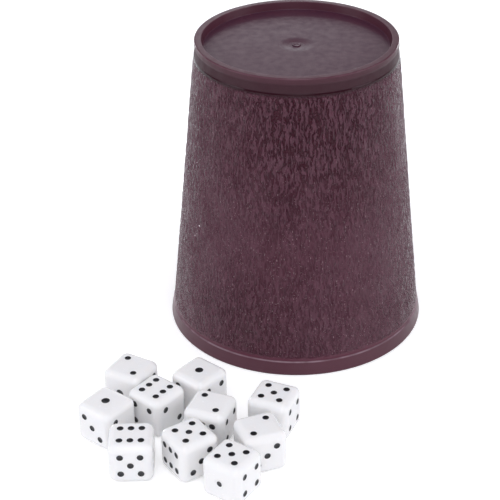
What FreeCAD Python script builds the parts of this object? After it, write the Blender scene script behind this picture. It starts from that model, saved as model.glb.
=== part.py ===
import FreeCAD, Part
import math
import os

import Sketcher

# A dice game set: one moulded dice cup, standing on its mouth, and ten dice thrown in front of it.
# Frame: +Z up, origin at the centre of the cup's mouth on the table, lengths in millimetres.

doc = FreeCAD.newDocument("dice_game_set")
sheet = doc.addObject("Spreadsheet::Sheet", "sizes")

# Driving dimensions. Lengths are in millimetres, turns in degrees, shares are plain ratios.
driving_sizes = {
    # Cup: overall form
    "cup_height": 105.7,
    "mouth_diameter": 91.0,
    "base_diameter": 68.4,
    "wall_thickness": 2.0,
    "floor_thickness": 2.2,
    "cavity_round": 2.5,
    # Cup: smooth lip round the mouth, standing out most at the table
    "lip_height": 4.7,
    "lip_proud": 0.8,
    "lip_top_proud": 0.45,
    "lip_round": 0.4,
    # Cup: smooth bead round the base, and the sunk floor inside it
    "ring_height": 2.6,
    "ring_proud": 0.3,
    "ring_width": 2.4,
    "ring_round": 0.5,
    "recess_depth": 2.7,
    "recess_slope": 0.6,
    "recess_round": 0.4,
    # Cup: gate mark in the middle of the sunk floor, a wide shallow dimple with a low nub in it
    "gate_dimple_diameter": 11.0,
    "gate_dimple_depth": 0.35,
    "gate_nub_diameter": 2.6,
    "gate_nub_height": 0.25,
    # Dice: rounded cube
    "die_edge": 14.0,
    "die_round": 2.4,
    # Dice: moulded pips, with the single pip larger than the rest
    "pip_diameter": 2.3,
    "ace_diameter": 3.0,
    "pip_depth": 0.45,
    "pip_pitch_share": 0.2245,
    "six_row_pitch_share": 0.2410,
    "six_row_side_share": 0.2160,
    # Dice: paint laid in the pips
    "paint_thickness": 0.15,
    "paint_clearance": 0.02,
    "paint_sink": 0.05,
    "paint_rim": 0.08,
}

# Where each die lies: the number it shows on top, its place as shares of a die's edge
# (across, and forward from the front of the cup's lip), and its turn on the table.
thrown_dice_shares = {
    "die_01": (2, -4.037, -0.872, -30.2),
    "die_02": (1, -4.521, -2.251, -128.2),
    "die_03": (6, -3.391, -1.794, 50.3),
    "die_04": (1, -2.408, -1.095, 138.6),
    "die_05": (6, -3.874, -3.510, -179.7),
    "die_06": (2, -2.129, -2.375, 158.7),
    "die_07": (5, -2.582, -3.455, -56.2),
    "die_08": (5, -0.672, -2.030, 156.5),
    "die_09": (2, -1.012, -3.256, -70.7),
    "die_10": (5, -1.630, -4.255, 145.2),
}

# Tip about X that brings a number to the top.
tip_for_top = {1: 0, 2: 90, 5: -90, 6: 180}


class Size:
    """A length, turn or share together with the sheet expression that gives it."""

    def __init__(self, value, text):
        self.value = value
        self.text = text

    def joined(self, other, sign, value):
        return Size(value, "(%s %s %s)" % (self.text, sign, other.text))

    def __add__(self, other):
        other = as_size(other)
        return self.joined(other, "+", self.value + other.value)

    def __sub__(self, other):
        other = as_size(other)
        return self.joined(other, "-", self.value - other.value)

    def __mul__(self, other):
        other = as_size(other)
        return self.joined(other, "*", self.value * other.value)

    def __truediv__(self, other):
        other = as_size(other)
        return self.joined(other, "/", self.value / other.value)

    def __neg__(self):
        return self * -1

    def root(self):
        return Size(math.sqrt(self.value), "sqrt(%s)" % self.text)


def as_size(number):
    return number if isinstance(number, Size) else Size(number, "(%r)" % number)


def fill_sheet():
    """Write every driving dimension to a cell of its own and return them as sizes by name."""
    cells = dict(driving_sizes)
    for name, (top, across, forward, turn) in thrown_dice_shares.items():
        cells[name + "_across_share"] = across
        cells[name + "_forward_share"] = forward
        cells[name + "_turn"] = turn
    for row, (name, value) in enumerate(cells.items(), start=1):
        sheet.set("A%d" % row, name)
        sheet.set("B%d" % row, repr(value))
        sheet.setAlias("B%d" % row, name)
    doc.recompute()
    return {name: Size(float(sheet.get(name)), "sizes." + name) for name in cells}


size = fill_sheet()


def bind(item, **bound):
    """Bind properties of an object to sheet expressions; two underscores stand for a dot."""
    for name, value in bound.items():
        item.setExpression(name.replace("__", "."), as_size(value).text)


def origin_plane(body, role):
    return [feature for feature in body.Origin.OriginFeatures if feature.Role == role][0]


def half_section(body, name, points):
    """Closed polygon of (radius, height) points in the XZ plane, every point held by its sizes."""
    sketch = body.newObject("Sketcher::SketchObject", name)
    sketch.AttachmentSupport = [(origin_plane(body, "XZ_Plane"), "")]
    sketch.MapMode = "FlatFace"
    corners = [FreeCAD.Vector(radius.value, height.value, 0) for radius, height in points]
    count = len(corners)
    for index in range(count):
        sketch.addGeometry(Part.LineSegment(corners[index], corners[(index + 1) % count]), False)
    for index in range(count):
        sketch.addConstraint(Sketcher.Constraint("Coincident", index, 2, (index + 1) % count, 1))
    for index, (radius, height) in enumerate(points):
        hold_corner(sketch, index, "DistanceX", radius, -2)
        hold_corner(sketch, index, "DistanceY", height, -1)
    return sketch


def hold_corner(sketch, index, kind, distance, axis):
    """Hold a corner at a distance from the origin, or on the axis where the distance is zero."""
    if distance.value == 0:
        sketch.addConstraint(Sketcher.Constraint("PointOnObject", index, 1, axis))
        return
    number = sketch.addConstraint(Sketcher.Constraint(kind, -1, 1, index, 1, distance.value))
    label = "%s_%d" % (kind, index)
    sketch.renameConstraint(number, label)
    sketch.setExpression("Constraints." + label, distance.text)


def round_circles(body, name, base, circles, radius):
    """Round the circular edges of a turned shape that lie at the given (radius, height) places."""
    doc.recompute()
    reach = size["lip_round"].value * near_share
    wanted = [(circle[0].value, circle[1].value) for circle in circles]
    edges = []
    for number, edge in enumerate(base.Shape.Edges, start=1):
        if not isinstance(edge.Curve, Part.Circle):
            continue
        place = (edge.Curve.Radius, edge.Curve.Center.z)
        if any(math.dist(place, target) < reach for target in wanted):
            edges.append("Edge%d" % number)
    fillet = body.newObject("PartDesign::Fillet", name)
    fillet.Base = (base, edges)
    bind(fillet, Radius=radius)
    return fillet


# How near, as a share of the lip's rounding, an edge lies to the place that names it.
near_share = 0.01


# Dice cup: one turned and moulded shell, its mouth on the table and its base on top.
def make_dice_cup():
    zero = Size(0, "0")
    height = size["cup_height"]
    mouth_radius = size["mouth_diameter"] / 2
    base_radius = size["base_diameter"] / 2
    wall_at_mouth = mouth_radius - size["lip_proud"]
    wall_at_base = base_radius - size["ring_proud"]
    slope = (wall_at_mouth - wall_at_base) / height

    floor_top = height - size["recess_depth"]
    ceiling = floor_top - size["floor_thickness"]
    ring_foot = height - size["ring_height"]
    recess_radius = base_radius - size["ring_width"]
    floor_radius = recess_radius - size["recess_slope"]
    dimple_floor = floor_top - size["gate_dimple_depth"]
    nub_top = dimple_floor + size["gate_nub_height"]
    nub_radius = size["gate_nub_diameter"] / 2
    cavity_at_mouth = wall_at_mouth - size["wall_thickness"]
    cavity_at_ceiling = cavity_at_mouth - slope * ceiling
    wall_at_lip = wall_at_mouth - slope * size["lip_height"]

    ceiling_corner = (cavity_at_ceiling, ceiling)
    mouth_inside = (cavity_at_mouth, zero)
    mouth_outside = (mouth_radius, zero)
    lip_top = (wall_at_lip + size["lip_top_proud"], size["lip_height"])
    ring_outside = (base_radius, height)
    ring_inside = (recess_radius, height)
    floor_corner = (floor_radius, floor_top)

    body = doc.addObject("PartDesign::Body", "dice_cup")
    sketch = half_section(body, "dice_cup_section", [
        (zero, ceiling),
        ceiling_corner,
        mouth_inside,
        mouth_outside,
        lip_top,
        (wall_at_lip, size["lip_height"]),
        (wall_at_mouth - slope * ring_foot, ring_foot),
        (base_radius, ring_foot),
        ring_outside,
        ring_inside,
        floor_corner,
        (size["gate_dimple_diameter"] / 2, floor_top),
        (nub_radius, dimple_floor),
        (nub_radius, nub_top),
        (zero, nub_top),
    ])
    shell = body.newObject("PartDesign::Revolution", "dice_cup_shell")
    shell.Profile = sketch
    shell.ReferenceAxis = (sketch, ["V_Axis"])
    shell.Angle = 360
    rim = round_circles(body, "dice_cup_lip_round", shell,
                        [mouth_inside, mouth_outside, lip_top], size["lip_round"])
    ring = round_circles(body, "dice_cup_ring_round", rim,
                         [ring_outside, ring_inside], size["ring_round"])
    recess = round_circles(body, "dice_cup_recess_round", ring,
                           [floor_corner], size["recess_round"])
    round_circles(body, "dice_cup_cavity_round", recess, [ceiling_corner], size["cavity_round"])
    return body


# Where the pips sit on the cube: the face's outward axis, then the pip's place on the other two axes.
def pip_places():
    """Every pip as (diameter, outward direction, place on the cube's x, y and z axes or None)."""
    edge = size["die_edge"]
    pitch = edge * size["pip_pitch_share"]
    row = edge * size["six_row_pitch_share"]
    side = edge * size["six_row_side_share"]
    still = Size(0, "0")
    small = size["pip_diameter"]
    out, back = 1, -1
    corners = [(pitch, pitch), (-pitch, pitch), (pitch, -pitch), (-pitch, -pitch)]
    places = [(size["ace_diameter"], out, (still, still, None))]
    for x, z in (corners[0], corners[3]):
        places.append((small, out, (x, None, z)))
    for y, z in (corners[1], (still, still), corners[2]):
        places.append((small, out, (None, y, z)))
    for y, z in corners:
        places.append((small, back, (None, y, z)))
    for x, z in corners + [(still, still)]:
        places.append((small, back, (x, None, z)))
    for x in (-row, still, row):
        for y in (-side, side):
            places.append((small, back, (x, y, None)))
    return places


def pip_balls(name, ball_for_pip):
    """One ball for each pip, fused; ball_for_pip gives its radius and its centre's height off the face."""
    balls = []
    for number, (diameter, outward, place) in enumerate(pip_places(), start=1):
        radius, height = ball_for_pip(diameter)
        reach = (size["die_edge"] / 2 + height) * outward
        x, y, z = [reach if value is None else value for value in place]
        ball = doc.addObject("Part::Sphere", "%s_%02d" % (name, number))
        bind(ball, Radius=radius, Placement__Base__x=x, Placement__Base__y=y, Placement__Base__z=z)
        balls.append(ball)
    group = doc.addObject("Part::MultiFuse", name)
    group.Shapes = balls
    return group


def pip_ball(diameter):
    """The ball whose cap is the moulded pip: as wide as the pip at the face and as deep as the pip."""
    depth = size["pip_depth"]
    radius = (diameter * diameter / 4 + depth * depth) / (depth * 2)
    return radius, radius - depth


def paint_under_ball(diameter):
    """The underside of the paint, a clearance inside the moulded pip."""
    radius, height = pip_ball(diameter)
    return radius - size["paint_clearance"], height


def paint_top_ball(diameter):
    """The hollow top of the paint: it leaves the paint's thickness in the middle and its rim at the edge."""
    under, height = paint_under_ball(diameter)
    level = height + size["paint_sink"]
    edge = (under * under - level * level).root() - size["paint_rim"]
    depth = under - level - size["paint_thickness"]
    radius = (edge * edge + depth * depth) / (depth * 2)
    return radius, radius - depth - size["paint_sink"]


def rounded_cube():
    """The die before its pips: a cube centred on its middle, with all edges and corners rounded."""
    half = size["die_edge"] / 2
    body = doc.addObject("PartDesign::Body", "die_blank")
    cube = body.newObject("PartDesign::AdditiveBox", "die_cube")
    bind(cube, Length=size["die_edge"], Width=size["die_edge"], Height=size["die_edge"])
    bind(cube, Placement__Base__x=-half, Placement__Base__y=-half, Placement__Base__z=-half)
    doc.recompute()
    fillet = body.newObject("PartDesign::Fillet", "die_cube_round")
    fillet.Base = (cube, ["Edge%d" % number for number in range(1, len(cube.Shape.Edges) + 1)])
    bind(fillet, Radius=size["die_round"])
    return body


def moulded_die():
    """The white moulding, with a hollow for every pip."""
    die = doc.addObject("Part::Cut", "die_moulding")
    die.Base = rounded_cube()
    die.Tool = pip_balls("die_pip_hollow", pip_ball)
    return die


def pip_paint():
    """The black paint of one die, a shallow bowl of paint in each pip, just below the face."""
    level = size["die_edge"] - size["paint_sink"] * 2
    block = doc.addObject("Part::Box", "paint_level")
    bind(block, Length=level, Width=level, Height=level)
    bind(block, Placement__Base__x=-level / 2, Placement__Base__y=-level / 2, Placement__Base__z=-level / 2)
    filled = doc.addObject("Part::Common", "paint_filled")
    filled.Base = pip_balls("paint_under", paint_under_ball)
    filled.Tool = block
    paint = doc.addObject("Part::Cut", "paint_bowls")
    paint.Base = filled
    paint.Tool = pip_balls("paint_top", paint_top_ball)
    return paint


def lay_on_table(item, name, top):
    """Bind a die's or its paint's placement: tipped to its number, turned, and set on the table."""
    edge = size["die_edge"]
    across = edge * size[name + "_across_share"]
    forward = edge * size[name + "_forward_share"] - size["mouth_diameter"] / 2
    spot = "vector(%s; %s; %s)" % (across.text, forward.text, (edge / 2).text)
    turned = "rotation(vector(0; 0; 1); %s)" % size[name + "_turn"].text
    tipped = "rotation(vector(1; 0; 0); %d)" % tip_for_top[top]
    item.setExpression("Placement", "placement(%s; %s * %s)" % (spot, turned, tipped))


# Ten dice, each a moulding of its own with its own paint.
def make_dice():
    moulding = moulded_die()
    paint = pip_paint()
    doc.recompute()
    pieces = []
    for name, (top, across, forward, turn) in thrown_dice_shares.items():
        die = doc.addObject("PartDesign::Body", name)
        die.BaseFeature = moulding
        lay_on_table(die, name, top)
        pips = doc.addObject("Part::Compound", name + "_pips")
        pips.Links = [paint]
        lay_on_table(pips, name, top)
        pieces += [die, pips]
    return pieces


def check_and_write(pieces):
    """Stop on any failed object or bad shape, then write one file for each piece."""
    doc.recompute()
    for item in doc.Objects:
        if "Invalid" in item.State or "Error" in item.State:
            raise RuntimeError("%s failed: %s" % (item.Label, item.State))
    for piece in pieces:
        if piece.Shape.isNull() or not piece.Shape.isValid():
            raise RuntimeError("%s has no valid shape" % piece.Label)
    os.makedirs("parts", exist_ok=True)
    for piece in pieces:
        piece.Shape.exportStep("parts/%s.step" % piece.Label)
        print("%s: %d solids, %.1f mm3" % (piece.Label, len(piece.Shape.Solids), piece.Shape.Volume))


check_and_write([make_dice_cup()] + make_dice())
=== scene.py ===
import math

import bpy
import numpy as np
from mathutils import Matrix, Vector


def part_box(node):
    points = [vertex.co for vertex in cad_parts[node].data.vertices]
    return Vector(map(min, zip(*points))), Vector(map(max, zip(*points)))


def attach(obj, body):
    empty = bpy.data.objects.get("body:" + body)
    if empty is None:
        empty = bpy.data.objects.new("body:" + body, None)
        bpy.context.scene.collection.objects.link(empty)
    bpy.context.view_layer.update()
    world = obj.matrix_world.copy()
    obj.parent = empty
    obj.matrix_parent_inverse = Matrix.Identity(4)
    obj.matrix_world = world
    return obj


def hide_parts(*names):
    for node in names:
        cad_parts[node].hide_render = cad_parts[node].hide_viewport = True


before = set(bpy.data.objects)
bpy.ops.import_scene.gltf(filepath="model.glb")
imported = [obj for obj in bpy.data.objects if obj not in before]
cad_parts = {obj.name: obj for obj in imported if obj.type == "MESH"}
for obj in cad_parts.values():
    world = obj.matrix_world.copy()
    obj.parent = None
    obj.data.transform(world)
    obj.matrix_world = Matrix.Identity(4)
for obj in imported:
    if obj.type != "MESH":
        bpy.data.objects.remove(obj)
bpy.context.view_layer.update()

mm = 0.001
scene = bpy.context.scene
print("frame loaded:", len(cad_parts), "nodes")


# Mesh tools shared by the cup, the dice and the paint.

def meshFromFaces(name, points, faceArrays):
    # points is (n, 3); each face array is (m, sides) vertex numbers, counter-clockwise from outside
    mesh = bpy.data.meshes.new(name)
    loops = np.concatenate([faces.ravel() for faces in faceArrays]).astype(np.int32)
    counts = np.concatenate([np.full(len(faces), faces.shape[1]) for faces in faceArrays])
    starts = np.concatenate([[0], np.cumsum(counts)[:-1]]).astype(np.int32)
    mesh.vertices.add(len(points))
    mesh.vertices.foreach_set("co", np.ascontiguousarray(points, np.float32).ravel())
    mesh.loops.add(len(loops))
    mesh.loops.foreach_set("vertex_index", loops)
    mesh.polygons.add(len(starts))
    mesh.polygons.foreach_set("loop_start", starts)
    mesh.update(calc_edges=True)
    mesh.validate()
    mesh.shade_smooth()
    return mesh


def addPiece(name, mesh, body, slotName, material, *nodes):
    # a finished piece sits at the origin, rides on its body and stands for its CAD nodes
    piece = bpy.data.objects.new(name, mesh)
    scene.collection.objects.link(piece)
    mesh.materials.append(material)
    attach(piece, body)
    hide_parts(*nodes)


def storeFloats(mesh, name, values):
    # one number for each vertex, which a material reads by name
    layer = mesh.attributes.new(name, "FLOAT", "POINT")
    layer.data.foreach_set("value", np.ascontiguousarray(values, np.float32).ravel())


def smoothStep(low, high, value):
    # 0 below low, 1 above high, and a smooth rise between them
    share = np.clip((value - low) / (high - low), 0, 1)
    return share * share * (3 - 2 * share)


def linePoints(start, end, count):
    # evenly spaced points on a straight run, without its last one
    share = np.arange(count)[:, None] / count
    return np.asarray(start) * (1 - share) + np.asarray(end) * share


# Material tools.

def newMaterial(name):
    # a material with its nodes, its links, its shader and the place on the piece
    material = bpy.data.materials.new(name)
    material.use_nodes = True
    nodes = material.node_tree.nodes
    links = material.node_tree.links
    place = nodes.new("ShaderNodeTexCoord").outputs["Object"]
    return material, nodes, links, nodes["Principled BSDF"], place


def addNode(nodes, kind, **values):
    # a node with its properties and, by socket name, its inputs
    node = nodes.new(kind)
    for name, value in values.items():
        if name in node.inputs:
            node.inputs[name].default_value = value
        else:
            setattr(node, name, value)
    return node


def addNoise(nodes, links, vector, scale, detail=4.0, roughness=0.55):
    noise = addNode(nodes, "ShaderNodeTexNoise", Scale=scale, Detail=detail, Roughness=roughness)
    links.new(vector, noise.inputs["Vector"])
    return noise.outputs["Fac"]


def addMix(nodes, links, factor, first, second):
    mix = addNode(nodes, "ShaderNodeMix", data_type="RGBA")
    links.new(factor, mix.inputs[0])
    for socket, value in ((mix.inputs[6], first), (mix.inputs[7], second)):
        if isinstance(value, tuple):
            socket.default_value = (*value, 1)
        else:
            links.new(value, socket)
    return mix.outputs[2]


def addRange(nodes, links, value, toLow, toHigh, fromLow=0.0, fromHigh=1.0):
    node = addNode(nodes, "ShaderNodeMapRange")
    for name, number in (("From Min", fromLow), ("From Max", fromHigh), ("To Min", toLow), ("To Max", toHigh)):
        node.inputs[name].default_value = number
    links.new(value, node.inputs["Value"])
    return node.outputs["Result"]


def addBump(nodes, links, height, strength, distance, normal=None):
    bump = addNode(nodes, "ShaderNodeBump", Strength=strength, Distance=distance)
    links.new(height, bump.inputs["Height"])
    if normal is not None:
        links.new(normal, bump.inputs["Normal"])
    return bump.outputs["Normal"]


def addMath(nodes, links, operation, *values, kind="ShaderNodeMath", output=0):
    node = addNode(nodes, kind, operation=operation)
    for socket, value in zip(node.inputs, values):
        if isinstance(value, (int, float, tuple)):
            socket.default_value = value
        else:
            links.new(value, socket)
    return node.outputs[output]


def addVector(nodes, links, operation, *values):
    return addMath(nodes, links, operation, *values, kind="ShaderNodeVectorMath")


def addDistance(nodes, links, place, middle):
    return addMath(nodes, links, "DISTANCE", place, middle, kind="ShaderNodeVectorMath", output="Value")


def readFloats(nodes, name):
    # the numbers that storeFloats put on the mesh
    return addNode(nodes, "ShaderNodeAttribute", attribute_name=name).outputs["Fac"]


# Dice cup.

cup = dict(
    height=105.7, mouthRadius=45.42, baseRadius=34.2,
    wallThickness=2.0, floorThickness=2.2, cavityRound=2.5,
    lipHeight=4.7, lipProud=0.74, lipTopProud=0.42, lipRound=0.4, lipTopRound=0.25, lipShoulder=0.45,
    ringHeight=2.5, ringProud=0.3, ringWidth=2.4, ringRound=0.45, beadHeight=1.7, beadRound=0.35,
    # painted shade on the ring's outer face and in the sunk band under it
    ringShade=0.6, shadeDrop=(0.2, 0.7),
    bandHeight=5.1, bandSunk=0.14, bandStep=0.15, bandRound=0.06, bandSlack=(1, 0.01),
    recessDepth=2.7, recessSlope=0.6, recessRound=0.3, recessEdge=0.22, floorRowsPast=8, floorLift=0.2,
    gateRadius=5.5, gateDepth=0.35, gateShare=0.5, gateRise=0.05, gateRounds=(3.0, 9.0), gateRuns=(1.5, 1.6),
    nubRadius=1.3, nubHeight=0.25, nubDip=0.08, nubLean=0.02, nubSkirt=0.2,
    nubShares=(0.45, 0.7), nubRounds=(0.1, 0.15, 0.12, 0.2),
    columns=200, wallSplit=3, wallRows=112, supportGap=0.12, arcStep=16, poleRadius=0.02,
    # painted highlight along the lip's shoulder, the ring's two edges and the mouth
    edgeSheenReach=0.24, edgeSheenShares=dict(lip=1.0, recess=0.2, base=0.3, mouth=0.3),
    grainWidth=1.45, grainLength=3.6, grainDepth=0.27, grainCrown=0.16, grainFade=0.5,
    grainSway=0.55, grainSwayWidth=6.0, grainSwayLength=11.0, grainFine=0.22, grainLift=0.35,
    grainJitter=(0.05, 0.95), grainEdge=0.55, grainPatch=(0.75, 0.35), grainTone=0.45, seed=41,
)


def wrapNoise(across, along, columns, rows, seed):
    # value noise: random numbers on a lattice that closes round the cup, blended smoothly between its points
    lattice = np.random.RandomState(seed).uniform(-1, 1, (rows + 2, columns))
    u = across * columns
    v = np.clip(along, 0, 1) * rows
    i = np.floor(u).astype(int)
    j = np.floor(v).astype(int)
    s = smoothStep(0, 1, u - i)
    t = smoothStep(0, 1, v - j)
    left, right = i % columns, (i + 1) % columns
    low = lattice[j, left] * (1 - s) + lattice[j, right] * s
    high = lattice[j + 1, left] * (1 - s) + lattice[j + 1, right] * s
    return low * (1 - t) + high * t


def grainCells(across, along, columns, rows, seed):
    # cell pattern: one point strewn in each box of a lattice that closes round the cup; at each place the
    # distances to the nearest and second nearest points, and the nearest point's own random number
    random = np.random.RandomState(seed)
    jitterU = random.uniform(*cup["grainJitter"], (rows, columns))
    jitterV = random.uniform(*cup["grainJitter"], (rows, columns))
    tone = random.uniform(0, 1, (rows, columns))
    u = across * columns
    v = along * rows
    i = np.floor(u).astype(int)
    j = np.floor(v).astype(int)
    near = np.full(u.shape, np.inf)
    second = np.full(u.shape, np.inf)
    nearTone = np.zeros(u.shape)
    for dj in (-1, 0, 1):
        for di in (-1, 0, 1):
            row = np.clip(j + dj, 0, rows - 1)
            column = (i + di) % columns
            distance = np.hypot(i + di + jitterU[row, column] - u, j + dj + jitterV[row, column] - v)
            closer = distance < near
            second = np.where(closer, near, np.minimum(second, distance))
            nearTone = np.where(closer, tone[row, column], nearTone)
            near = np.where(closer, distance, near)
    return near, second, nearTone


def grainHeight(across, along, girth, length):
    # leather grain: long pads parted by creases. The place sways with slow noise first, so that the creases
    # wander; a pad is high where the second nearest point is much further than the nearest one
    c = cup
    swayColumns = int(round(girth / c["grainSwayWidth"]))
    swayRows = int(round(length / c["grainSwayLength"]))
    columns = int(round(girth / c["grainWidth"]))
    rows = int(round(length / c["grainLength"]))
    sway = wrapNoise(across, along, swayColumns, swayRows, c["seed"])
    fine = wrapNoise(across, along, columns // 2, rows * 2, c["seed"] + 1)
    swayed = across + (c["grainSway"] * sway + c["grainFine"] * fine) * c["grainWidth"] / girth * 2
    lift = wrapNoise(across, along, swayColumns * 2, swayRows, c["seed"] + 2)
    lifted = along + c["grainLift"] * lift / rows
    near, second, tone = grainCells(swayed, lifted, columns, rows, c["seed"] + 3)
    pad = smoothStep(0.0, c["grainEdge"], second - near)
    patch = wrapNoise(across, along, swayColumns, swayRows, c["seed"] + 4)
    level, swing = c["grainPatch"]
    depth = level + swing * patch  # the grain is deeper in some places than in others
    return depth * (pad - 1) + c["grainTone"] * depth * (tone - 0.5) * pad


def roundedRun(corners):
    # a run of (radius, height, round) corners as points: each corner becomes an arc that meets both of its
    # straight runs, and each straight run gets a point close to both of its ends, which keeps it flat
    places = np.array([corner[:2] for corner in corners], float)
    points = [places[:1]]
    for before, here, after, corner in zip(places[:-2], places[1:-1], places[2:], corners[1:-1]):
        back, ahead = before - here, after - here
        back, ahead = back / np.linalg.norm(back), ahead / np.linalg.norm(ahead)
        half = math.acos(np.clip(back @ ahead, -1, 1)) / 2
        reach = corner[2] / math.tan(half)
        middle = here + (back + ahead) / np.linalg.norm(back + ahead) * corner[2] / math.sin(half)
        start, end = here + back * reach, here + ahead * reach
        share = np.linspace(0, 1, 2 + int(math.degrees(math.pi - 2 * half) / cup["arcStep"]))[:, None]
        arc = start + (end - start) * share - middle
        arc = middle + arc / np.linalg.norm(arc, axis=1, keepdims=True) * corner[2]
        gap = cup["supportGap"]
        points += [[start + back * gap], arc, [end + ahead * gap]]
    return np.concatenate(points + [places[-1:]])


def cupProfile():
    # the cup's half section as (radius, height) in mm, from the middle of the base, over the ring, down the
    # outside to the mouth and up the inside to the middle of the ceiling; with the grained and floor rows, the edge
    # rows of painted highlight and the ring and band rows of painted shade told apart
    c = cup
    top, base, mouth = c["height"], c["baseRadius"], c["mouthRadius"]
    wallMouth, wallBase = mouth - c["lipProud"], base - c["ringProud"]
    slope = (wallMouth - wallBase) / top
    wall = lambda z: wallMouth - slope * z
    floor = top - c["recessDepth"]
    gateFloor = floor - c["gateDepth"]
    nubTop = gateFloor + c["nubHeight"]
    recess = base - c["ringWidth"]
    beadFoot, ringFoot, bandFoot = top - c["beadHeight"], top - c["ringHeight"], top - c["bandHeight"]
    lip = c["lipHeight"]
    inner = wallMouth - c["wallThickness"]
    ceiling = floor - c["floorThickness"]
    innerTop = inner - slope * ceiling
    nub, dish = c["nubRadius"], c["gateRadius"]
    dipShare, crestShare = c["nubShares"]
    dipRound, crestRound, edgeRound, footRound = c["nubRounds"]
    dishRound, dishEdge = c["gateRounds"]
    gateEnd, sunkStart = c["gateRuns"]
    gate = roundedRun([
        (c["poleRadius"], nubTop - c["nubDip"], 0), (nub * dipShare, nubTop - c["nubDip"], dipRound),
        (nub * crestShare, nubTop, crestRound), (nub, nubTop - c["nubLean"], edgeRound),
        (nub + c["nubSkirt"], gateFloor, footRound), (dish * c["gateShare"], gateFloor + c["gateRise"], dishRound),
        (dish, floor, dishEdge), (dish * gateEnd, floor, 0)])
    sunk = roundedRun([
        (dish * sunkStart, floor, 0), (recess - c["recessSlope"], floor, c["recessRound"]),
        (recess, top, c["recessEdge"]), (base, top, c["ringRound"]),
        (base, beadFoot, c["beadRound"]), (wall(ringFoot) - c["bandSunk"], ringFoot, c["beadRound"]),
        (wall(bandFoot) - c["bandSunk"], bandFoot + c["bandStep"], c["bandRound"]), (wall(bandFoot), bandFoot, 0)])
    shoulder = lip + c["lipShoulder"]
    grained = linePoints((wall(bandFoot), bandFoot), (wall(shoulder), shoulder), c["wallRows"])[1:]
    rim = roundedRun([
        (wall(shoulder), shoulder, 0), (wall(lip) + c["lipTopProud"], lip, c["lipTopRound"]),
        (mouth, 0, c["lipRound"]), (inner, 0, c["lipRound"]),
        (innerTop, ceiling, c["cavityRound"]), (c["poleRadius"], ceiling, 0)])
    runs = [gate, sunk, grained, rim]
    grain = np.concatenate([np.full(len(run), index == 2) for index, run in enumerate(runs)])
    profile = np.concatenate(runs)
    floorRows = np.arange(len(profile)) < len(gate) + c["floorRowsPast"]
    floorRows &= profile[:, 1] < floor + c["floorLift"]
    # painted highlight on the edges, strongest on the lip's shoulder
    wearAndSheen = np.zeros(len(profile))
    shoulderMiddle = (wall(lip) + c["lipTopProud"] / 2, (lip + shoulder) / 2)
    edges = dict(lip=shoulderMiddle, recess=(recess, top), base=(base, top), mouth=(mouth, 0))
    for name, share in c["edgeSheenShares"].items():
        away = np.sum((profile - edges[name]) ** 2, 1)
        wearAndSheen = np.maximum(wearAndSheen, share * np.exp(-away / c["edgeSheenReach"] ** 2))
    # painted shade: the ring's outer face and the sunk band under the ring are darkened
    inward, under = c["bandSlack"]
    band = (profile[:, 0] > wallBase - inward) & (profile[:, 1] >= bandFoot - under)
    drop = top - profile[:, 1]
    onRing = c["ringShade"] * smoothStep(*c["shadeDrop"], drop)
    underRing = (1 - c["ringShade"]) * smoothStep(c["beadHeight"], c["ringHeight"], drop)
    return profile, grain, floorRows, wearAndSheen, band * (onRing + underRing)


def ringPoints(radius, height):
    # place = (radius cos a, radius sin a, height), with the angle a going once round along each row
    angle = 2 * math.pi * np.arange(radius.shape[1]) / radius.shape[1]
    return np.stack([radius * np.cos(angle), radius * np.sin(angle), height], -1).reshape(-1, 3)


def ringFaces(index):
    # quads between the rings of a grid of vertex numbers, which closes round
    after = np.roll(index, -1, 1)
    return np.stack([index[:-1], index[1:], after[1:], after[:-1]], -1).reshape(-1, 4)


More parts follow.
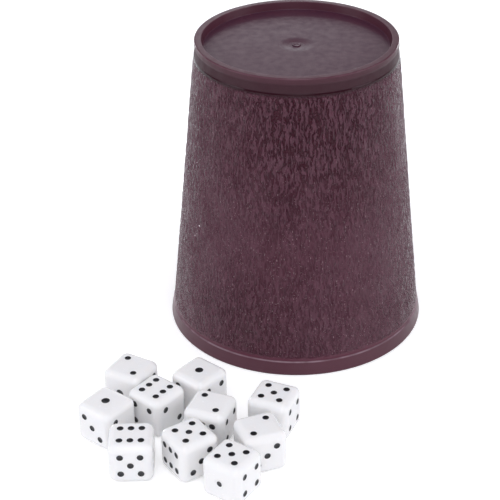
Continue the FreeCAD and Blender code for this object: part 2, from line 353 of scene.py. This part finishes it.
def makeCup(smooth, leather):
    # surface of revolution of the section, where the wall's radius has the grain's height added; the wall has more
    # columns than the rest, so six-sided faces join its two ends; the two middle points close it
    c = cup
    profile, grained, floorRows, wearAndSheen, shade = cupProfile()
    columns, split = c["columns"], c["wallSplit"]
    wallStart, wallEnd = np.flatnonzero(grained)[[0, -1]] + (0, 1)
    wallHeights = profile[grained, 1]
    run = wallHeights.max() - wallHeights.min()
    along = np.repeat((wallHeights.max() - wallHeights)[:, None] / run, columns * split, 1)
    across = np.repeat(np.arange(columns * split)[None] / (columns * split), len(along), 0)
    girth = 2 * math.pi * profile[grained, 0].mean()
    relief = grainHeight(across, along, girth, run)
    ends = np.minimum(wallHeights.max() - wallHeights, wallHeights - wallHeights.min())
    fade = smoothStep(0, c["grainFade"], ends)[:, None]
    points, grids, first = [], [], 0
    spans = (0, wallStart, columns), (wallStart, wallEnd, columns * split), (wallEnd, len(profile), columns)
    for low, high, count in spans:
        radius = np.repeat(profile[low:high, :1], count, 1)
        if low == wallStart:
            radius = radius + (c["grainDepth"] * relief + c["grainCrown"]) * fade
        points.append(ringPoints(radius, np.repeat(profile[low:high, 1:], count, 1)))
        grids.append(first + np.arange(radius.size).reshape(radius.shape))
        first += radius.size
    base, wall, rim = grids
    above, below = base[-1][:, None], rim[0][:, None]
    tops, feet = wall[0].reshape(columns, split), wall[-1].reshape(columns, split)
    baseJoin = np.concatenate([above, tops, np.roll(tops, -1, 0)[:, :1], np.roll(above, -1, 0)], 1)
    nextFoot = np.roll(feet, -1, 0)[:, :1]
    rimJoin = np.concatenate([feet[:, :1], below, np.roll(below, -1, 0), nextFoot, feet[:, :0:-1]], 1)
    baseFan = np.stack([np.full(columns, first), base[0], np.roll(base[0], -1)], -1)
    rimFan = np.stack([np.full(columns, first + 1), np.roll(rim[-1], -1), rim[-1]], -1)
    poles = np.array([[0, 0, profile[0, 1]], [0, 0, profile[-1, 1]]])
    faces = [ringFaces(wall), baseJoin, rimJoin, ringFaces(base), ringFaces(rim), baseFan, rimFan]
    mesh = meshFromFaces("diceCup", np.concatenate(points + [poles]) * mm, faces)
    counts = np.where(grained, columns * split, columns)
    grain = np.zeros(first)
    grain[wall] = fade
    storeFloats(mesh, "grain", np.concatenate([grain, [0, 0]]))
    storeFloats(mesh, "bloom", np.concatenate([np.repeat(floorRows, counts), [1, 0]]))
    # the cup's wearAndSheen rows hold the painted edge highlight, its shade rows the painted shade
    storeFloats(mesh, "wearAndSheen", np.concatenate([np.repeat(wearAndSheen, counts), [0, 0]]))
    storeFloats(mesh, "shade", np.concatenate([np.repeat(shade, counts), [0, 0]]))
    addPiece("dice_cup_moulding", mesh, "cup", "cup_plastic", smooth, "dice_cup")
    mesh.materials.append(leather)
    leatherFaces = np.zeros(len(mesh.polygons), np.int32)
    leatherFaces[:sum(len(some) for some in faces[:3])] = 1
    mesh.polygons.foreach_set("material_index", leatherFaces)
    print("cup:", len(profile), "rows,", sum(len(some) * (some.shape[1] - 2) for some in faces), "triangles")


cupFinish = dict(
    # smooth plastic of the lip, the base and the inside
    colour=(0.070, 0.015, 0.028), paleColour=(0.090, 0.024, 0.041), cloudScale=55.0, streakScale=420.0,
    noiseSpan=(0.3, 0.7), microScale=2600.0, microStrength=0.35, microDepth=0.05 * mm,
    roughLow=0.28, roughHigh=0.40, gloss=0.34,
    bloomColour=(0.062, 0.021, 0.043), bloomShares=(0.35, 0.75), bloomRough=0.02,
    # bandShadeColour is painted shade in the sunk band under the ring, on the ring's face and at the wall's top end
    bandShadeColour=(0.024, 0.003, 0.008), bandShade=0.75, bandShadeRough=0.30,
    # edgeSheenColour is a pale painted highlight along the edges, broken into patches by noise
    edgeSheenColour=(0.34, 0.23, 0.27), sheenBreakScale=160.0, sheenBreakShares=(0.35, 1.0), sheenBreakSpan=(0.38, 0.6),
    # grained plastic of the wall
    # creaseShadeColour is painted shade in the creases
    padColour=(0.101, 0.029, 0.047), palePadColour=(0.127, 0.050, 0.074), creaseShadeColour=(0.042, 0.002, 0.011),
    padScale=1500.0, padStretch=0.20, swayScale=170.0, sway=2.2 * mm, fineSwayScale=800.0, fineSway=0.4 * mm,
    creaseFoot=0.41, creaseThin=0.50, creaseWide=0.58, creaseShare=0.95, creaseRough=0.10,
    patchScale=300.0, patchSpan=(0.35, 0.65),
    depthScale=38.0, depthSpan=(0.38, 0.62), depthLow=0.09, depthHigh=0.30,
    # deepShadeSpots make the creases deeper and also darker; the darkening is painted shade
    deepShadeSpots=(  # middle, reach and how much deeper
        ((0.002, -0.036, 0.086), 0.042, 1.1), ((-0.012, -0.043, 0.016), 0.034, 0.55),
        ((0.014, 0.034, 0.078), 0.036, 0.9), ((-0.022, 0.034, 0.030), 0.034, 0.6)),
    lineScale=2200.0, lineStretch=0.18, lineShare=0.32,
    tips=((2800.0, 0.75, 0.12), (2500.0, 0.28, 0.04)),  # scale, stretch and share of the cells
    # tipGlintColour is a pale painted glint on the raised tips
    tipReach=0.40, tipDepth=0.34 * mm, tipGlintShare=0.75, tipGlintColour=(0.44, 0.27, 0.31), tipFade=(1.0, 0.35, 0.4, 1.0),
    endHeights=(0.03, 0.07), grainStrength=1.0, grainDepth=0.85 * mm,
    grainGloss=0.23, grainRoughLow=0.09, grainRoughHigh=0.22,
)


def addSway(nodes, links, place, scale, reach):
    # moves each place by slow noise, twice as far along the cup's axis as across it
    slow = addNode(nodes, "ShaderNodeTexNoise", Scale=scale, Detail=2.0)
    links.new(place, slow.inputs["Vector"])
    swing = addVector(nodes, links, "SUBTRACT", slow.outputs["Color"], (0.5, 0.5, 0.5))
    swing = addVector(nodes, links, "MULTIPLY", swing, (reach, reach, reach * 2))
    return addVector(nodes, links, "ADD", place, swing)


def leatherGrain(nodes, links, place):
    # wavy bars parted by creases: noise drawn out along the cup's axis, in places that sway, and cut at a level that
    # makes the creases wide in some patches and thin in others (0 in a crease and 1 on a bar); fine lines along the
    # bars; and the creases' depth, which differs from place to place
    c = cupFinish
    swayed = addSway(nodes, links, place, c["swayScale"], c["sway"])
    swayed = addSway(nodes, links, swayed, c["fineSwayScale"], c["fineSway"])
    drawn = addVector(nodes, links, "MULTIPLY", swayed, (1.0, 1.0, c["padStretch"]))
    waves = addNoise(nodes, links, drawn, c["padScale"], 1.0)
    patch = addNoise(nodes, links, drawn, c["patchScale"], 2.0)
    pads = addNode(nodes, "ShaderNodeMapRange", interpolation_type="SMOOTHSTEP")
    pads.inputs["From Min"].default_value = c["creaseFoot"]
    links.new(waves, pads.inputs["Value"])
    brow = addRange(nodes, links, patch, c["creaseThin"], c["creaseWide"], *c["patchSpan"])
    links.new(brow, pads.inputs["From Max"])
    along = addVector(nodes, links, "MULTIPLY", swayed, (1.0, 1.0, c["lineStretch"]))
    lines = addNoise(nodes, links, along, c["lineScale"], 2.0)
    lines = addRange(nodes, links, lines, -c["lineShare"], c["lineShare"], *c["noiseSpan"])
    depth = addNoise(nodes, links, place, c["depthScale"], 2.0)
    depth = addRange(nodes, links, depth, c["depthLow"], c["depthHigh"], *c["depthSpan"])
    # these spots also darken the creases there, which is painted shade
    for middle, reach, more in c["deepShadeSpots"]:
        nearer = addRange(nodes, links, addDistance(nodes, links, place, middle), more, 0.0, 0.0, reach)
        depth = addMath(nodes, links, "ADD", depth, nearer)
    return pads.outputs["Result"], lines, addMath(nodes, links, "MINIMUM", 1.0, depth)


def speckle(nodes, links, place, scale, stretch, share):
    # tiny raised tips strewn over the grain: spots in a share of small cells, drawn out along the cup's axis;
    # 1 on a tip
    c = cupFinish
    cells = addNode(nodes, "ShaderNodeTexVoronoi", feature="F1", Scale=scale)
    links.new(addVector(nodes, links, "MULTIPLY", place, (1.0, 1.0, stretch)), cells.inputs["Vector"])
    spot = addRange(nodes, links, cells.outputs["Distance"], 1.0, 0.0, c["tipReach"] / 2, c["tipReach"])
    tint = addNode(nodes, "ShaderNodeSeparateColor")
    links.new(cells.outputs["Color"], tint.inputs[0])
    chosen = addMath(nodes, links, "GREATER_THAN", tint.outputs[0], 1.0 - share)
    return addMath(nodes, links, "MULTIPLY", spot, chosen)


def satinTooth(nodes, links, place):
    # streaks that vary the gloss, and a fine tooth in the surface
    c = cupFinish
    streak = addNoise(nodes, links, place, c["streakScale"], 3.0)
    micro = addNoise(nodes, links, place, c["microScale"], 2.0)
    return streak, addBump(nodes, links, micro, c["microStrength"], c["microDepth"])


def smoothPlastic():
    # satin plastic of the lip, the base and the inside: slow clouds in the colour, a grey bloom on the sunk floor,
    # painted shade in the band under the ring and on its face, and paler edges that are a painted highlight, broken
    # into patches
    c = cupFinish
    material, nodes, links, shader, place = newMaterial("smoothPlastic")
    streak, tooth = satinTooth(nodes, links, place)
    bloom = readFloats(nodes, "bloom")
    tone = addMix(nodes, links, addNoise(nodes, links, place, c["cloudScale"]), c["colour"], c["paleColour"])
    dusty = addRange(nodes, links, streak, *c["bloomShares"], *c["noiseSpan"])
    dusty = addMath(nodes, links, "MULTIPLY", bloom, dusty)
    tone = addMix(nodes, links, dusty, tone, c["bloomColour"])
    # painted shade on the ring's face and in the band under it
    shade = readFloats(nodes, "shade")
    tone = addMix(nodes, links, addMath(nodes, links, "MULTIPLY", shade, c["bandShade"]), tone, c["bandShadeColour"])
    # painted highlight along the edges, broken into patches by noise
    wearAndSheen = readFloats(nodes, "wearAndSheen")
    edgeSheen = addNoise(nodes, links, place, c["sheenBreakScale"], 3.0)
    edgeSheen = addRange(nodes, links, edgeSheen, *c["sheenBreakShares"], *c["sheenBreakSpan"])
    edgeSheen = addMath(nodes, links, "MULTIPLY", wearAndSheen, edgeSheen)
    links.new(addMix(nodes, links, edgeSheen, tone, c["edgeSheenColour"]), shader.inputs["Base Color"])
    rough = addRange(nodes, links, streak, c["roughLow"], c["roughHigh"], *c["noiseSpan"])
    rough = addMath(nodes, links, "MULTIPLY_ADD", shade, c["bandShadeRough"], rough)
    links.new(addMath(nodes, links, "MULTIPLY_ADD", bloom, c["bloomRough"], rough), shader.inputs["Roughness"])
    shader.inputs["Specular IOR Level"].default_value = c["gloss"]
    links.new(tooth, shader.inputs["Normal"])
    return material


def grainedPlastic():
    # plastic of the wall: dull creases between satin pads, darkened with painted shade and deeper and darker in some
    # places, with pale painted glints on raised tips; the wall's plain ends carry painted shade under the ring and
    # are as pale as the pads at the lip
    c = cupFinish
    material, nodes, links, shader, place = newMaterial("grainedPlastic")
    streak, tooth = satinTooth(nodes, links, place)
    mask = readFloats(nodes, "grain")
    pads, lines, depth = leatherGrain(nodes, links, place)
    roundTips, longTips = [speckle(nodes, links, place, *kind) for kind in c["tips"]]
    specks = addMath(nodes, links, "MULTIPLY", mask, addMath(nodes, links, "MAXIMUM", roundTips, longTips))
    specks = addMath(nodes, links, "MULTIPLY", specks, addRange(nodes, links, depth, *c["tipFade"]))
    deep = addMath(nodes, links, "MULTIPLY", mask, depth)
    # creaseShade: painted shade in the creases, stronger where the grain is deep
    creaseShade = addMath(nodes, links, "MULTIPLY", deep, addRange(nodes, links, pads, c["creaseShare"], 0.0))
    tone = addMix(nodes, links, addNoise(nodes, links, place, c["cloudScale"]), c["padColour"], c["palePadColour"])
    height = addNode(nodes, "ShaderNodeSeparateXYZ")
    links.new(place, height.inputs[0])
    # the wall's plain top end darkens towards the band under the ring: painted shade
    ends = addRange(nodes, links, height.outputs["Z"], 0.0, 1.0, *c["endHeights"])
    ends = addMix(nodes, links, ends, c["padColour"], c["bandShadeColour"])
    tone = addMix(nodes, links, mask, ends, addMix(nodes, links, creaseShade, tone, c["creaseShadeColour"]))
    # pale painted glints on the raised tips
    glint = addMath(nodes, links, "MULTIPLY", specks, c["tipGlintShare"])
    links.new(addMix(nodes, links, glint, tone, c["tipGlintColour"]), shader.inputs["Base Color"])
    rough = addRange(nodes, links, streak, c["grainRoughLow"], c["grainRoughHigh"], *c["noiseSpan"])
    links.new(addMath(nodes, links, "MULTIPLY_ADD", creaseShade, c["creaseRough"], rough), shader.inputs["Roughness"])
    shader.inputs["Specular IOR Level"].default_value = c["grainGloss"]
    relief = addMath(nodes, links, "MULTIPLY", mask, addMath(nodes, links, "MULTIPLY_ADD", depth, pads, lines))
    normal = addBump(nodes, links, relief, c["grainStrength"], c["grainDepth"], tooth)
    links.new(addBump(nodes, links, specks, 1.0, c["tipDepth"], normal), shader.inputs["Normal"])
    return material


# Dice and their paint.

die = dict(
    edge=14.0, round=2.4, pipRadius=1.15, aceRadius=1.5, pipDepth=0.45,
    pitchShare=0.2245, sixRowShare=0.2410, sixSideShare=0.2160, steps=72,
    paintThickness=0.15, paintClearance=0.02, paintSink=0.05, paintRim=0.08,
    rimCatch=0.55, joinSteps=1e4, paintRows=6, paintColumns=28, edgeWander=0.035,
    wornSpan=(0.45, 1.05), wornMiddle=0.02, seed=7,
)

# number on top and turn on the table in degrees, as in the frame
dieLies = {
    "die_01": (2, -30.2), "die_02": (1, -128.2), "die_03": (6, 50.3), "die_04": (1, 138.6), "die_05": (6, -179.7),
    "die_06": (2, 158.7), "die_07": (5, -56.2), "die_08": (5, 156.5), "die_09": (2, -70.7), "die_10": (5, 145.2),
}
tipForTop = {1: 0, 2: 90, 5: -90, 6: 180}
wornAce = "die_10"


def pipSpots():
    # for each face: its axis, its side, and its pips' places on the other two axes, in mm
    p = die["edge"] * die["pitchShare"]
    row, side = die["edge"] * die["sixRowShare"], die["edge"] * die["sixSideShare"]
    corners = [(p, p), (-p, p), (p, -p), (-p, -p)]
    return [
        (2, 1, [(0, 0)]),
        (1, 1, [corners[0], corners[3]]),
        (0, 1, [corners[1], (0, 0), corners[2]]),
        (0, -1, corners),
        (1, -1, corners + [(0, 0)]),
        (2, -1, [(x, y) for x in (-row, 0, row) for y in (-side, side)]),
    ]


def pipSize(spots):
    return die["aceRadius"] if len(spots) == 1 else die["pipRadius"]


def dieFrame(name):
    # turn matrix and middle of a die as it lies, in mm
    top, turn = dieLies[name]
    matrix = Matrix.Rotation(math.radians(turn), 3, "Z") @ Matrix.Rotation(math.radians(tipForTop[top]), 3, "X")
    low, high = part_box(name)
    return np.array(matrix), np.array((low + high) / 2) / mm


def dieFace(axis, side, spots):
    # one face of the rounded cube: a flat grid, drawn onto the pips' rims where it passes close to them, sunk to a
    # ball's cap inside them, and bent over the edges: place = core point + round * direction from core to cube
    half, r, n = die["edge"] / 2, die["round"], die["steps"]
    line = np.linspace(-half, half, n + 1)
    step = line[1] - line[0]
    u, v = np.meshgrid(line, line, indexing="ij")
    sink = np.zeros_like(u)
    pip = pipSize(spots)
    ball = (pip ** 2 + die["pipDepth"] ** 2) / (2 * die["pipDepth"])
    for x, y in spots:
        away = np.hypot(u - x, v - y)
        onRim = np.abs(away - pip) < step * die["rimCatch"]
        pull = np.where(onRim, pip / np.maximum(away, step), 1)
        u, v = x + (u - x) * pull, y + (v - y) * pull
        away = np.minimum(np.hypot(u - x, v - y), pip)
        sink += np.sqrt(ball ** 2 - away ** 2) - (ball - die["pipDepth"])
    cube = np.empty(u.shape + (3,))
    others = [k for k in range(3) if k != axis]
    cube[..., axis] = side * half
    cube[..., others[0]] = u
    cube[..., others[1]] = v
    core = np.clip(cube, -(half - r), half - r)
    out = cube - core
    place = core + r * out / np.linalg.norm(out, axis=-1, keepdims=True)
    place[..., axis] -= side * sink
    index = np.arange(u.size).reshape(u.shape)
    quads = np.stack([index[:-1, :-1], index[1:, :-1], index[1:, 1:], index[:-1, 1:]], -1).reshape(-1, 4)
    flipped = (side < 0) != (axis == 1)
    return place.reshape(-1, 3), quads[:, ::-1] if flipped else quads


def makeDie(name, material):
    # six faces, joined where their edges meet; a quad with two corners drawn to one place becomes a triangle
    points, quads, first = [], [], 0
    for axis, side, spots in pipSpots():
        facePoints, faceQuads = dieFace(axis, side, spots)
        points.append(facePoints)
        quads.append(faceQuads + first)
        first += len(facePoints)
    allPoints = np.concatenate(points)
    key = np.round(allPoints * die["joinSteps"]).astype(np.int64)
    kept, back = np.unique(key, axis=0, return_index=True, return_inverse=True)[1:]
    turn, middle = dieFrame(name)
    place = allPoints[kept] @ turn.T + middle
    faces = back.ravel()[np.concatenate(quads)]
    twin = faces == np.roll(faces, -1, 1)
    pinched = twin.any(1)
    mesh = meshFromFaces(name, place * mm, [faces[~pinched], faces[pinched][~twin[pinched]].reshape(-1, 3)])
    addPiece(name + "_moulding", mesh, name, "die_plastic", material, name)


def makePaint(name, number, material):
    # one shallow bowl of paint in each pip: a closed section (under side out to the rim, hollow top back to the
    # middle) turned about the pip's axis, its rim a little uneven
    d = die
    random = np.random.RandomState(d["seed"] + number)
    angle = 2 * math.pi * np.arange(d["paintColumns"]) / d["paintColumns"]
    share = np.linspace(0, 1, d["paintRows"] + 1)[1:]
    turn, middle = dieFrame(name)
    points, quads, wearAndSheen, first = [], [], [], 0
    for axis, side, spots in pipSpots():
        pip = pipSize(spots)
        ball = (pip ** 2 + d["pipDepth"] ** 2) / (2 * d["pipDepth"])
        under, level = ball - d["paintClearance"], ball - d["pipDepth"] + d["paintSink"]
        rim = math.sqrt(under ** 2 - level ** 2)
        bowlRim = rim - d["paintRim"]
        bowlDepth = under - level - d["paintThickness"]
        bowl = (bowlRim ** 2 + bowlDepth ** 2) / (2 * bowlDepth)
        lowR = rim * share
        lowZ = -(np.sqrt(under ** 2 - lowR ** 2) - level) - d["paintSink"]
        topR = bowlRim * share[::-1]
        topZ = -(np.sqrt(bowl ** 2 - topR ** 2) - (bowl - bowlDepth)) - d["paintSink"]
        r = np.concatenate([lowR, topR])[:, None]
        z = np.concatenate([lowZ, topZ])[:, None]
        for x, y in spots:
            lobes = random.uniform(-1, 1, 3)
            phase = random.uniform(0, 2 * math.pi, 3)
            wander = sum(lobes[k] * np.cos((k + 2) * angle + phase[k]) for k in range(3)) / 3
            ring = r * (1 - d["edgeWander"] * (0.5 + 0.5 * wander)[None])
            local = np.empty(ring.shape + (3,))
            others = [k for k in range(3) if k != axis]
            local[..., others[0]] = x + ring * np.cos(angle)
            local[..., others[1]] = y + ring * np.sin(angle)
            local[..., axis] = side * (d["edge"] / 2 + z)
            rows, columns = ring.shape
            index = first + np.arange(rows * columns).reshape(rows, columns)
            after = np.roll(index, -1, 1)
            body = np.stack([index[:-1], after[:-1], after[1:], index[1:]], -1).reshape(-1, 4)
            lowMiddle, topMiddle = first + rows * columns, first + rows * columns + 1
            poles = np.zeros((2, 3))
            poles[:, others[0]], poles[:, others[1]] = x, y
            poles[0, axis] = side * (d["edge"] / 2 - d["pipDepth"] + d["paintClearance"])
            poles[1, axis] = side * (d["edge"] / 2 - bowlDepth - d["paintSink"])
            lowFan = np.stack([np.full(columns, lowMiddle), after[0], index[0]], -1)
            topFan = np.stack([np.full(columns, topMiddle), index[-1], after[-1]], -1)
            if (side < 0) != (axis == 1):
                body, lowFan, topFan = body[:, ::-1], lowFan[:, ::-1], topFan[:, ::-1]
            points += [local.reshape(-1, 3), poles]
            worn = float(name == wornAce and len(spots) == 1)
            gone = worn * smoothStep(*d["wornSpan"], r[:, 0] / rim)
            wearAndSheen += [np.repeat(gone, columns), [worn * d["wornMiddle"]] * 2]
            quads += [body, lowFan, topFan]
            first += rows * columns + 2
    place = np.concatenate(points) @ turn.T + middle
    fours = np.concatenate([faces for faces in quads if faces.shape[1] == 4])
    threes = np.concatenate([faces for faces in quads if faces.shape[1] == 3])
    mesh = meshFromFaces(name + "Paint", place * mm, [fours, threes])
    storeFloats(mesh, "wearAndSheen", np.concatenate(wearAndSheen))
    addPiece(name + "_paint", mesh, name, "pip_paint", material, name + "_pips")


dieFinish = dict(
    colour=(0.922, 0.918, 0.916), warmColour=(0.915, 0.902, 0.892), cloudScale=130.0,
    scuffScale=900.0, scuffNoise=(6.0, 0.7), scuffSpan=(0.35, 0.7), scuffStrength=0.08, scuffDepth=0.03 * mm,
    roughLow=0.16, roughHigh=0.30, glow=0.35, glowReach=1.4 * mm, glowTint=(1.0, 0.9, 0.8),
)


def diePlastic():
    # white polished plastic: faint clouds, faint scuffs in the gloss and a little light carried under the surface
    c = dieFinish
    material, nodes, links, shader, place = newMaterial("diePlastic")
    cloud = addNoise(nodes, links, place, c["cloudScale"])
    scuff = addNoise(nodes, links, place, c["scuffScale"], *c["scuffNoise"])
    links.new(addMix(nodes, links, cloud, c["colour"], c["warmColour"]), shader.inputs["Base Color"])
    rough = addRange(nodes, links, scuff, c["roughLow"], c["roughHigh"], *c["scuffSpan"])
    links.new(rough, shader.inputs["Roughness"])
    links.new(addBump(nodes, links, scuff, c["scuffStrength"], c["scuffDepth"]), shader.inputs["Normal"])
    shader.inputs["Subsurface Weight"].default_value = c["glow"]
    shader.inputs["Subsurface Scale"].default_value = c["glowReach"]
    shader.inputs["Subsurface Radius"].default_value = c["glowTint"]
    return material


paintFinish = dict(
    colour=(0.008, 0.008, 0.010), thinColour=(0.040, 0.040, 0.045), thinSpan=(0.5, 0.75), patchScale=700.0,
    flakeScale=1300.0, flakeSpan=(0.86, 0.94), wornLeast=0.01,
    roughLow=0.28, roughHigh=0.5, ripple=0.3, rippleDepth=0.05 * mm,
)


def pipPaint():
    # satin black paint, thinner and greyer in patches; where it is worn, flakes have gone and the white shows
    c = paintFinish
    material, nodes, links, shader, place = newMaterial("pipPaint")
    patch = addNoise(nodes, links, place, c["patchScale"], 3.0)
    thin = addRange(nodes, links, patch, 0.0, 1.0, *c["thinSpan"])
    wearAndSheen = readFloats(nodes, "wearAndSheen")
    flake = addMath(nodes, links, "ADD", wearAndSheen, addNoise(nodes, links, place, c["flakeScale"], 2.0))
    gone = addRange(nodes, links, flake, 0.0, 1.0, *c["flakeSpan"])
    gone = addMath(nodes, links, "MULTIPLY", gone, addMath(nodes, links, "GREATER_THAN", wearAndSheen, c["wornLeast"]))
    tone = addMix(nodes, links, thin, c["colour"], c["thinColour"])
    links.new(addMix(nodes, links, gone, tone, dieFinish["colour"]), shader.inputs["Base Color"])
    links.new(addRange(nodes, links, patch, c["roughLow"], c["roughHigh"]), shader.inputs["Roughness"])
    links.new(addBump(nodes, links, patch, c["ripple"], c["rippleDepth"]), shader.inputs["Normal"])
    return material


# Floor, light and camera.

studio = dict(
    floorSize=60.0, floorDrop=0.05 * mm, floorColour=(0.93, 0.93, 0.93), floorGlow=0.35, midGlow=0.24, farGlow=0.60,
    glowMiddle=(0.0, 0.08), glowEnds=(0.27, 0.50, 0.50, 1.20), worldGrey=0.22, worldLight=0.64,
    lightColour=(0.98, 0.985, 1.035), target=(0, -0.03, 0.04),
    softboxes=dict(
        left=dict(size=0.45, power=1.5, place=(-0.85, -0.25, 0.40)),
        right=dict(size=0.45, power=1.6, place=(0.85, -0.25, 0.40)),
        top=dict(size=0.50, power=2.5, place=(0.05, -0.55, 1.00)),
        front=dict(size=0.30, power=0.03, place=(0.0, -0.55, 0.22), target=(0.0, -0.13, 0.0), spread=44.0),
        rimLeft=dict(size=0.09, power=1.3, place=(-0.50, 0.70, 0.05)),
        rimRight=dict(size=0.09, power=2.0, place=(0.50, 0.70, 0.05)),
        back=dict(size=0.28, power=0.45, place=(0.0, 1.00, 0.37)),
    ),
)


def rayIsBackground(nodes, links):
    # 1 where the camera, a gloss or a clear piece sees the surface, and 0 for the light it sends
    path = nodes.new("ShaderNodeLightPath")
    total = path.outputs["Is Camera Ray"]
    for name in ("Is Glossy Ray", "Is Transmission Ray"):
        total = addMath(nodes, links, "MAXIMUM", total, path.outputs[name])
    return total


def makeFloor():
    # a plain pale sheet: it takes the shadow, and shows a little lighter than it lights, round the middle and
    # far off
    s = studio
    material, nodes, links, shader, place = newMaterial("paleFloor")
    shader.inputs["Base Color"].default_value = (*s["floorColour"], 1)
    shader.inputs["Roughness"].default_value = 1.0
    shader.inputs["Specular IOR Level"].default_value = 0.0
    shader.inputs["Emission Color"].default_value = (1, 1, 1, 1)
    away = addDistance(nodes, links, place, (*s["glowMiddle"], 0))
    near = addRange(nodes, links, away, s["floorGlow"], s["midGlow"], *s["glowEnds"][:2])
    far = addRange(nodes, links, away, 0.0, s["farGlow"], *s["glowEnds"][2:])
    glow = addMath(nodes, links, "ADD", near, far)
    shown = addMath(nodes, links, "MULTIPLY", glow, rayIsBackground(nodes, links))
    links.new(shown, shader.inputs["Emission Strength"])
    half = s["floorSize"] / 2
    corners = np.array([[-half, -half], [half, -half], [half, half], [-half, half]])
    points = np.concatenate([corners, np.full((4, 1), -s["floorDrop"])], 1)
    mesh = meshFromFaces("floor", points, [np.array([[0, 1, 2, 3]])])
    mesh.materials.append(material)
    floor = bpy.data.objects.new("floor", mesh)
    scene.collection.objects.link(floor)


def makeWorld():
    # plain fill light from all round, which itself shows as a darker grey
    s = studio
    world = bpy.data.worlds.new("studioWorld")
    scene.world = world
    world.use_nodes = True
    nodes, links = world.node_tree.nodes, world.node_tree.links
    background = nodes["Background"]
    background.inputs["Color"].default_value = (*s["lightColour"], 1)
    shown = rayIsBackground(nodes, links)
    links.new(addRange(nodes, links, shown, s["worldLight"], s["worldGrey"]), background.inputs["Strength"])


def addSoftbox(name, size, power, place, target=studio["target"], spread=180.0):
    lamp = bpy.data.lights.new(name, "AREA")
    lamp.spread = math.radians(spread)
    lamp.shape = "SQUARE"
    lamp.size = size
    lamp.energy = power
    lamp.color = studio["lightColour"]
    box = bpy.data.objects.new(name, lamp)
    scene.collection.objects.link(box)
    box.location = place
    box.rotation_euler = (Vector(target) - Vector(place)).to_track_quat("-Z", "Y").to_euler()


def makeLights():
    for name, box in studio["softboxes"].items():
        addSoftbox(name + "Softbox", **box)


# the photograph's view: a look down at the table from the front, with a slight roll
view = dict(lens=107.035, sensor=36.0, pitch=30.748, distance=0.58254, aimX=-0.01645, aimY=0.03935, roll=-0.782)


def makeCamera():
    v = view
    pitch, roll = math.radians(v["pitch"]), math.radians(v["roll"])
    ahead = Vector((0, math.cos(pitch), -math.sin(pitch)))
    right = Vector((1, 0, 0))
    up = right.cross(ahead)
    right, up = (right * math.cos(roll) + up * math.sin(roll), up * math.cos(roll) - right * math.sin(roll))
    lens = bpy.data.cameras.new("photoCamera")
    lens.sensor_width = v["sensor"]
    lens.lens = v["lens"]
    lens.clip_start = 0.01
    camera = bpy.data.objects.new("photoCamera", lens)
    scene.collection.objects.link(camera)
    turn = Matrix((right, up, -ahead)).transposed().to_4x4()
    place = Vector((v["aimX"], v["aimY"], 0)) - ahead * v["distance"]
    camera.matrix_world = Matrix.Translation(place) @ turn
    scene.camera = camera


makeCup(smoothPlastic(), grainedPlastic())
whitePlastic, blackPaint = diePlastic(), pipPaint()
for number, name in enumerate(dieLies):
    makeDie(name, whitePlastic)
    makePaint(name, number, blackPaint)
print("dice:", len(dieLies), "with their paint")

makeFloor()
makeWorld()
makeLights()
makeCamera()
scene.view_settings.view_transform = "Standard"
print("floor, light and camera set")
